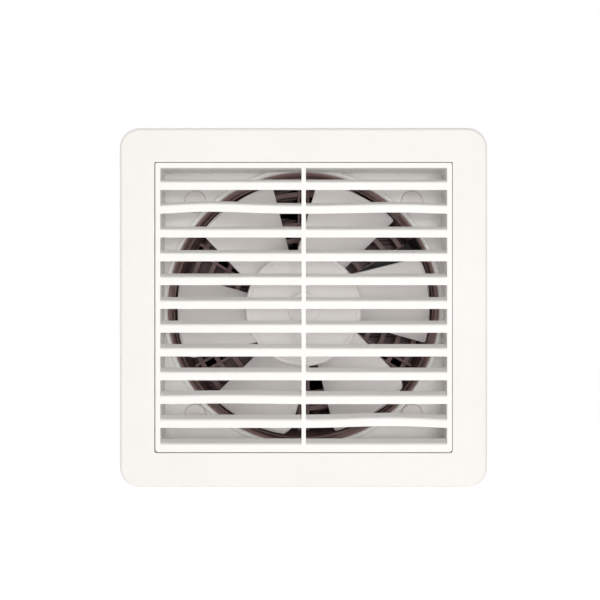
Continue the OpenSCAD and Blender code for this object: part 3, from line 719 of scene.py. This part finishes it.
def plated_metal(name, colour, dull, roughness, streak_mm):
    """Plated or ground metal: fine streaks across the light, small dull spots and brighter, rubbed edges.
    The streaks are drawn coarser than real, so that they show."""
    material = bpy.data.materials.new(name)
    tree = empty_tree(material)
    place = add_node(tree, "ShaderNodeTexCoord").outputs["Object"]
    wear = edge_wear(tree, place)
    spots = add_node(tree, "ShaderNodeTexNoise", {"Vector": place, "Scale": per_mm(1.5), "Detail": 3.0})
    spotted = add_node(tree, "ShaderNodeMix", {"Factor": spots.outputs["Fac"], "A": linear(colour),
                                               "B": linear(dull)}, data_type="RGBA")
    tone = add_node(tree, "ShaderNodeMix",
                    {"Factor": wear, "A": spotted.outputs["Result"], "B": linear(colour)}, data_type="RGBA")
    streaks = add_node(tree, "ShaderNodeTexNoise",
                       {"Vector": place, "Scale": per_mm(streak_mm), "Detail": 5.0})
    gloss = add_node(tree, "ShaderNodeMapRange", {
        "Value": streaks.outputs["Fac"], "To Min": roughness - 0.08, "To Max": roughness + 0.12})
    bump = add_node(tree, "ShaderNodeBump", {"Height": streaks.outputs["Fac"], "Strength": 0.6,
                                             "Distance": 0.01 * mm})
    steel = add_node(tree, "ShaderNodeBsdfPrincipled", {
        "Base Color": tone.outputs["Result"], "Metallic": 1.0, "Roughness": gloss.outputs["Result"],
        "Normal": bump.outputs["Normal"]})
    add_node(tree, "ShaderNodeOutputMaterial", {"Surface": steel.outputs["BSDF"]})
    return material


# Steel barrel-plated with clear zinc: a cool grey, bright on its edges and clouded on its flats.
zinc_steel = plated_metal("zinc_plated_steel", "#c9cbce", "#8f9194", roughness=0.34, streak_mm=0.4)
for node_name, name in (("frame_clips", "spring_clips"), ("tie_screws", "plate_tie_screws"),
                        ("tie_nuts", "plate_tie_nuts"), ("rear_screws", "shutter_screws"),
                        ("mount_screws", "motor_mount_screws"), ("motor_bolts", "motor_through_bolts"),
                        ("box_screws", "terminal_box_screws"), ("lid_screws", "terminal_lid_screws")):
    fit(cleaned_copy(node_name, name, 0.18 * mm), zinc_steel, "zinc_steel", "fan_body", node_name)


# ---- Duct ----
# A dark brown polypropylene sleeve: a flange screwed behind the plate, and a round tube about the blades
# with one step inside, where the bore closes in on the blade tips.
# Polypropylene coloured dark brown in the mass: waxy, with a rose cast where light falls on it.
duct_plastic = moulded_plastic("warm_brown_polypropylene", "#886e6b", "#826865", "#9a817e",
                               roughness=0.5, grain_mm=0.7, grain_depth_mm=0.02, cloud_mm=30, ior=1.49)
duct = cleaned_copy("duct_sleeve", "duct_moulding", 0.4 * mm, 3, sliver=finest_sliver)
fit(duct, duct_plastic, "dark_brown_plastic", "fan_body", "duct_sleeve")


# ---- Motor guard ----
# The ring guard that carries the motor: rings and ribbed arms moulded in one with the duct's plastic.
# It closes the back of the duct and is screwed to its four ears.
# The same polypropylene, painted lighter as painted light on the rings, so that they show as warm brown lines
# before the dark flaps.
guard_plastic_painted_lit = moulded_plastic("brown_polypropylene_painted_lighter", "#997b79", "#937674", "#aa8e8c",
                                roughness=0.5, grain_mm=0.7, grain_depth_mm=0.02, cloud_mm=30, ior=1.49)
# Its acute corners leave wider slivers than the other pieces have.
guard = cleaned_copy("motor_guard", "ring_guard_moulding", 0.3 * mm, limit_width=False, sliver=0.01 * mm)
fit(guard, guard_plastic_painted_lit, "dark_brown_plastic", "fan_body", "motor_guard")


# ---- Cable channel and motor lead ----
# A black snap-on cover that leads the motor's grey sheathed lead out along one arm and into the duct wall.
# The lead comes out into the terminal box.
# Glass-filled black nylon: almost matt, with a faint grain, and greyer where the edges are rubbed.
black_plastic = moulded_plastic("black_nylon", "#151413", "#11100f", "#2a2827",
                                roughness=0.6, grain_mm=0.6, grain_depth_mm=0.012, cloud_mm=25, ior=1.53)
fit(cleaned_copy("cable_channel", "cable_channel_cover", 0.3 * mm), black_plastic, "black_plastic",
    "fan_body", "cable_channel")
# Extruded grey PVC: smooth and softly shiny.
lead_sheath = moulded_plastic("grey_pvc_sheath", "#6f6f72", "#66666a", "#7a7a7d",
                              roughness=0.4, grain_mm=0.4, grain_depth_mm=0.01, cloud_mm=12, ior=1.54)
fit(cleaned_copy("motor_lead", "motor_lead_sheath", 0.1 * mm), lead_sheath, "grey_sheath", "fan_body",
    "motor_lead")


# ---- Terminal box ----
# A black nylon box on two posts beside the duct, with a screwed lid and the gland for the mains cable.
# Inside it are a cream terminal block and the run capacitor.
for node_name, name in (("terminal_box", "terminal_box_shell"), ("terminal_box_lid", "terminal_box_cover"),
                        ("cable_gland", "cable_gland_nut")):
    fit(cleaned_copy(node_name, name, 0.4 * mm, 3), black_plastic, "black_plastic", "fan_body", node_name)
# Unfilled nylon as it comes from the mould: cream, and a little warmer where it is in shade.
cream_nylon = moulded_plastic("cream_nylon", "#e6dfcc", "#ddd5c0", "#ece6d6",
                              roughness=0.45, grain_mm=0.5, grain_depth_mm=0.01, cloud_mm=10, ior=1.53)
fit(cleaned_copy("terminal_block", "terminal_block_body", 0.3 * mm), cream_nylon, "cream_nylon", "fan_body",
    "terminal_block")
# Natural polypropylene: a milky grey-white with a soft sheen.
capacitor_shell = moulded_plastic("capacitor_polypropylene", "#d8d5cf", "#cfccc5", "#e0ddd8",
                                  roughness=0.35, grain_mm=0.5, grain_depth_mm=0.01, cloud_mm=10, ior=1.49)
fit(cleaned_copy("capacitor", "capacitor_body", 0.6 * mm, 3), capacitor_shell, "capacitor_shell", "fan_body",
    "capacitor")


# ---- Motor ----
# Two drawn steel shells in black enamel with a light orange peel, bolted together round the stator.
# Inside: a stack of steel laminations, enamelled copper windings and two ball bearings.
# Baked black enamel on drawn steel: semi-gloss, with slow ripples about 1.6 mm apart.
black_enamel = moulded_plastic("black_baked_enamel", "#1f1e1d", "#181716", "#3a3836",
                               roughness=0.3, grain_mm=1.6, grain_depth_mm=0.03, cloud_mm=20, ior=1.52)
for node_name, name in (("motor_front_shell", "motor_front_cup"), ("motor_rear_shell", "motor_rear_cup")):
    fit(cleaned_copy(node_name, name, 0.6 * mm, 3), black_enamel, "black_enamel", "fan_body", node_name)


def laminated_steel():
    """Stacked electrical sheet: bright punched edges, dark varnish between them, and runs of varnish.
    The sheets are drawn at 1 mm, twice as coarse as real."""
    sheet_mm = 1.0
    # A wave texture repeats about this many times in one unit of its scale.
    waves_per_unit = 3.15
    material = bpy.data.materials.new("varnished_steel_laminations")
    tree = empty_tree(material)
    place = add_node(tree, "ShaderNodeTexCoord").outputs["Object"]
    sheets = add_node(tree, "ShaderNodeTexWave",
                      {"Vector": place, "Scale": per_mm(sheet_mm) / waves_per_unit}, bands_direction="Y")
    tone = add_node(tree, "ShaderNodeValToRGB", {"Fac": sheets.outputs["Fac"]})
    tone.color_ramp.elements[0].color = linear("#55565a")
    tone.color_ramp.elements[1].color = linear("#a2a4a8")
    runs = add_node(tree, "ShaderNodeTexNoise", {"Vector": place, "Scale": per_mm(5), "Detail": 4.0})
    run = add_node(tree, "ShaderNodeMapRange",
                   {"Value": runs.outputs["Fac"], "From Min": 0.5, "From Max": 0.7})
    varnished = add_node(tree, "ShaderNodeMix", {"Factor": run.outputs["Result"], "A": tone.outputs["Color"],
                                                 "B": linear("#5e5750")}, data_type="RGBA")
    gloss = add_node(tree, "ShaderNodeMapRange",
                     {"Value": runs.outputs["Fac"], "To Min": 0.55, "To Max": 0.32})
    bump = add_node(tree, "ShaderNodeBump", {"Height": sheets.outputs["Fac"], "Strength": 0.7,
                                             "Distance": 0.05 * mm})
    steel = add_node(tree, "ShaderNodeBsdfPrincipled", {
        "Base Color": varnished.outputs["Result"], "Metallic": 1.0, "Roughness": gloss.outputs["Result"],
        "Normal": bump.outputs["Normal"]})
    add_node(tree, "ShaderNodeOutputMaterial", {"Surface": steel.outputs["BSDF"]})
    return material


def refinish(node_name, material):
    """Gives a solid whose shape is right its real material."""
    for material_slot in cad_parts[node_name].material_slots:
        material_slot.material = material


lamination = laminated_steel()
# Copper under amber enamel: a red-brown metal, darker where turns are in shade.
copper_wire = plated_metal("enamelled_copper_wire", "#b06a3b", "#7f4a2a", roughness=0.35, streak_mm=0.5)
# Ground chrome steel: pale, nearly a mirror, with fine grinding marks.
bearing_steel = plated_metal("ground_bearing_steel", "#d4d6d8", "#b4b6b9", roughness=0.22, streak_mm=0.3)
refinish("stator_core", lamination)
refinish("stator_winding", copper_wire)
refinish("front_bearing", bearing_steel)
refinish("rear_bearing", bearing_steel)


# ---- Impeller ----
# Six broad blades and a hub moulded in one piece of light grey polypropylene. Each blade's front edge is
# straight, its rear edge is radial, and its tip corners are rounded off. It is pressed on a brass insert,
# which a cross pin drives, and turns with the shaft and rotor.
# Light grey polypropylene from a blasted tool: no shine, so hub and blades differ only by the light on them.
impeller_plastic = moulded_plastic("light_grey_polypropylene", "#f6f3f1", "#f1eeec", "#f9f7f5",
                                   roughness=0.62, grain_mm=0.6, grain_depth_mm=0.012, cloud_mm=45, ior=1.49)

impeller_low, impeller_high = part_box("impeller")
blade_count = 6
hub_front = impeller_low.y
hub_back = impeller_high.y
hub_radius = 45.6 * mm
blade_front = hub_front + 2.5 * mm
blade_depth = 22 * mm
# A blade's face is flatter at its leading edge: 0.7 of the fall is even, and 0.3 grows along it.
even_fall = 0.7
growing_fall = 0.3
blade_thickness = 2.2 * mm
blade_edge = 0.75 * mm
tip_radius = 97.8 * mm
tip_flare = 4.9 * mm
leading_corner = 4.5 * mm
trailing_corner = 2.5 * mm
root_radius = hub_radius - 1.5 * mm
trailing_degrees = 44.2
leading_degrees = 30.1
leading_offset = 16.1 * mm


def corner_angle(radius, tip, corner):
    """How far, as an angle, a rounded tip corner draws a blade's edge inward at a radius."""
    past = max(radius - (tip - corner), 0)
    return (corner - math.sqrt(max(corner ** 2 - past ** 2, 0))) / radius


def blade_point(along, out):
    """A point of a blade: along runs from its leading to its trailing edge, out from its root to its tip."""
    tip = tip_radius + tip_flare * along
    radius = root_radius + (tip - root_radius) * out
    leading = corner_angle(radius, tip, leading_corner)
    trailing = corner_angle(radius, tip, trailing_corner)
    sweep = math.radians(leading_degrees) + math.asin(leading_offset / radius)
    angle = math.radians(trailing_degrees) + trailing + (sweep - leading - trailing) * (1 - along)
    depth = blade_front + blade_depth * (even_fall * along + growing_fall * along * along)
    return radius * math.cos(angle), depth, radius * math.sin(angle)


bpy.ops.object.select_all(action="DESELECT")
bpy.ops.mesh.primitive_grid_add(x_subdivisions=24, y_subdivisions=20, size=1)
blade = settle(bpy.context.object, "blade")
for vertex in blade.data.vertices:
    out = math.sin((vertex.co.y + 0.5) * math.pi / 2)
    vertex.co = blade_point(vertex.co.x + 0.5, out)
blade.data.update()
if sum(face.normal.y for face in blade.data.polygons) > 0:
    bpy.ops.object.mode_set(mode="EDIT")
    bpy.ops.mesh.select_all(action="SELECT")
    bpy.ops.mesh.flip_normals()
    bpy.ops.object.mode_set(mode="OBJECT")
thick = blade.modifiers.new("thick", "SOLIDIFY")
thick.thickness = blade_thickness
thick.offset = -1
bpy.ops.object.modifier_apply(modifier=thick.name)
round_edges(blade, blade_edge, steps=3, sharp_degrees=50)
bpy.ops.object.shade_smooth_by_angle(angle=math.radians(50))

hub_wall = 3 * mm
hub_bore = 6.5 * mm
hub_boss = 9.5 * mm
hub_rim = 1.4 * mm
groove = 42 * mm
boss_back = hub_front + 18 * mm
web_back = hub_front + 2.6 * mm
rib_half = 0.9 * mm
rib_start = 9 * mm
rib_end = hub_radius - 2 * mm
rib_front = hub_front + 2.4 * mm
rib_back = hub_front + 12 * mm
# The front face is dished by 0.25 mm, with a groove 0.4 to 0.5 mm deep near its rim.
hub = turned("hub", [(hub_bore, hub_front + 0.3 * mm), (groove - 0.4 * mm, hub_front + 0.05 * mm),
                     (groove, hub_front + 0.55 * mm), (groove + 0.5 * mm, hub_front + 0.15 * mm)]
             + arc_points(hub_radius - hub_rim, hub_front + hub_rim + 0.1 * mm, hub_rim, -90, 0)
             + [(hub_radius, hub_back), (hub_radius - hub_wall, hub_back), (hub_radius - hub_wall, web_back),
                (hub_boss, web_back), (hub_boss, boss_back), (hub_bore, boss_back)], round_steps)
only(hub)
bpy.ops.object.shade_smooth_by_angle(angle=math.radians(35))
wheel = [hub]
for number in range(blade_count):
    one = blade.copy()
    one.data = blade.data.copy()
    bpy.context.collection.objects.link(one)
    one.data.transform(Matrix.Rotation(math.radians(-360 / blade_count * number), 4, "Y"))
    wheel.append(one)
for number in range(blade_count):
    rib = box_block("hub_rib", (rib_start, rib_front, -rib_half), (rib_end, rib_back, rib_half))
    rib.data.transform(Matrix.Rotation(math.radians(360 / blade_count * number), 4, "Y"))
    wheel.append(rib)
only(hub)
for part in wheel:
    part.select_set(True)
bpy.ops.object.join()
bpy.data.objects.remove(blade, do_unlink=True)
hub.name = "impeller_moulding"
fit(hub, impeller_plastic, "impeller_grey", "impeller", "impeller")

hub_cap_radius = 12.5 * mm
hub_cap_front = hub_front - 3 * mm
hub_cap_round = 0.9 * mm
hub_cap_flat_share = 0.5
hub_cap_flat_fall = 0.08 * mm
hub_cap_rim_fall = 0.2 * mm
hub_cap_bore = 4.1 * mm
hub_cap_floor = hub_front - 1.8 * mm
hub_cap = turned("hub_cap_disc", [(0, hub_cap_floor), (0, hub_cap_front),
                                  (hub_cap_radius * hub_cap_flat_share, hub_cap_front + hub_cap_flat_fall)]
                 + arc_points(hub_cap_radius - hub_cap_round,
                              hub_cap_front + hub_cap_round + hub_cap_rim_fall, hub_cap_round, -90, 0)
                 + [(hub_cap_radius, hub_front), (hub_cap_bore, hub_front),
                    (hub_cap_bore, hub_cap_floor)], 64)
only(hub_cap)
bpy.ops.object.shade_smooth_by_angle(angle=math.radians(35))
fit(hub_cap, impeller_plastic, "impeller_grey", "impeller", "hub_cap")
# Brass off the lathe: yellow, with fine turning marks.
turned_brass = plated_metal("turned_brass", "#c9a457", "#a58344", roughness=0.3, streak_mm=0.3)
refinish("hub_insert", turned_brass)
refinish("drive_pin", zinc_steel)
refinish("rotor_shaft", bearing_steel)
refinish("rotor", lamination)


# ---- Shutter ----
# The gravity shutter on the outside: a dark brown frame and five flaps that hang shut and blow open.
# Each flap turns on pins in the side walls, and a black tie bar on their cranks moves them together.
# The darkest of the brown mouldings: the same polypropylene painted darker, as painted shade for the flaps
# deep behind the guard, and its edges rubbed greyer.
shutter_plastic_painted_shade = moulded_plastic("brown_polypropylene_painted_darker", "#755c5a", "#6f5755", "#886f6d",
                                  roughness=0.5, grain_mm=0.7, grain_depth_mm=0.02, cloud_mm=30, ior=1.49)
shutter = cleaned_copy("shutter_frame", "shutter_frame_moulding", 0.4 * mm, 3)
fit(shutter, shutter_plastic_painted_shade, "dark_brown_plastic", "fan_body", "shutter_frame")
for number in range(1, 6):
    flap = cleaned_copy(f"flap_{number}", f"shutter_flap_{number}", 0.25 * mm)
    fit(flap, shutter_plastic_painted_shade, "dark_brown_plastic", f"flap_{number}", f"flap_{number}")
fit(cleaned_copy("tie_bar", "shutter_tie_bar", 0.25 * mm), black_plastic, "black_plastic", "tie_bar",
    "tie_bar")
